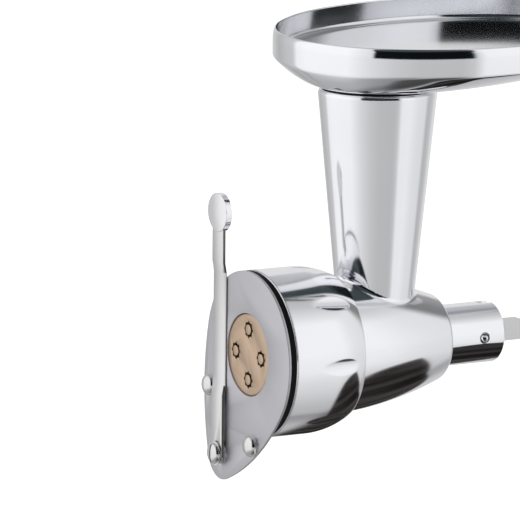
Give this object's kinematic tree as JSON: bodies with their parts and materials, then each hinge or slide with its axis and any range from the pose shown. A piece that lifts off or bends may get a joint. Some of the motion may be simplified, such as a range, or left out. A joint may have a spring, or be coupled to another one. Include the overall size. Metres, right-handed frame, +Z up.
{
  "type": "meat grinder attachment with pasta die",
  "caption": "Polished meat grinder attachment for a mixer hub: tapered feed tube with oval tray, worm, ring nut, brass pasta die and a swinging cut-off lever.",
  "frame": {"origin": "on the barrel axis, at the rear shoulder where the hub spigot begins", "axes": "+Y along the barrel axis to the rear, out of the spigot; the die faces -Y; +Z up the feed tube; +X to the right seen from the front"},
  "size_m": [0.1944, 0.2664, 0.2274],
  "materials": {
    "polished_casting": "polished",
    "cast_aluminium": "cast",
    "steel": "turned",
    "stainless": "brushed",
    "bronze": "turned",
    "brass": "spun satin",
    "seal_rubber": "matte",
    "white_plastic": "matte",
    "black_plastic": "satin"
  },
  "bodies": {
    "housing": {"grinder_housing": "polished_casting", "rear_bush": "bronze", "shaft_seal": "seal_rubber", "thrust_washer": "white_plastic", "locating_pin": "steel", "pasta_die": "brass", "die_cores": "brass"},
    "worm_train": {"worm": "cast_aluminium", "worm_stud": "steel", "drive_shaft": "steel", "drive_pin": "steel"},
    "tray": {"feed_tray": "polished_casting"},
    "cutter_head": {"snap_collar": "black_plastic", "cutter_plate": "stainless", "stop_pins": "stainless", "pivot_screw": "stainless", "pivot_spacer": "stainless", "spring_washer": "steel", "pivot_nut": "steel"},
    "nut": {"ring_nut": "polished_casting"},
    "lever": {"cutter_lever": "stainless", "lever_knob": "stainless"}
  },
  "joints": [
    {"name": "worm_spin", "type": "hinge", "parent": "housing", "child": "worm_train", "pos_m": [0, 0, 0], "axis": [0, 1, 0], "continuous": true},
    {"name": "tray_lift", "type": "slide", "parent": "housing", "child": "tray", "axis": [0, 0, 1], "range_m": [0, 0.06]},
    {"name": "head_draw", "type": "slide", "parent": "housing", "child": "cutter_head", "axis": [0, -1, 0], "range_m": [0, 0.0121]},
    {"name": "nut_turn", "type": "hinge", "parent": "cutter_head", "child": "nut", "pos_m": [0, -0.085, 0], "axis": [0, -1, 0], "range_deg": [0, 1080]},
    {"name": "lever_swing", "type": "hinge", "parent": "cutter_head", "child": "lever", "pos_m": [-0.0274, -0.113, -0.05618], "axis": [0, 1, 0], "range_deg": [0, 52]}
  ],
  "couplings": [
    {"joint": "head_draw", "follows": "nut_turn", "m_per_rad": 0.00063662}
  ]
}
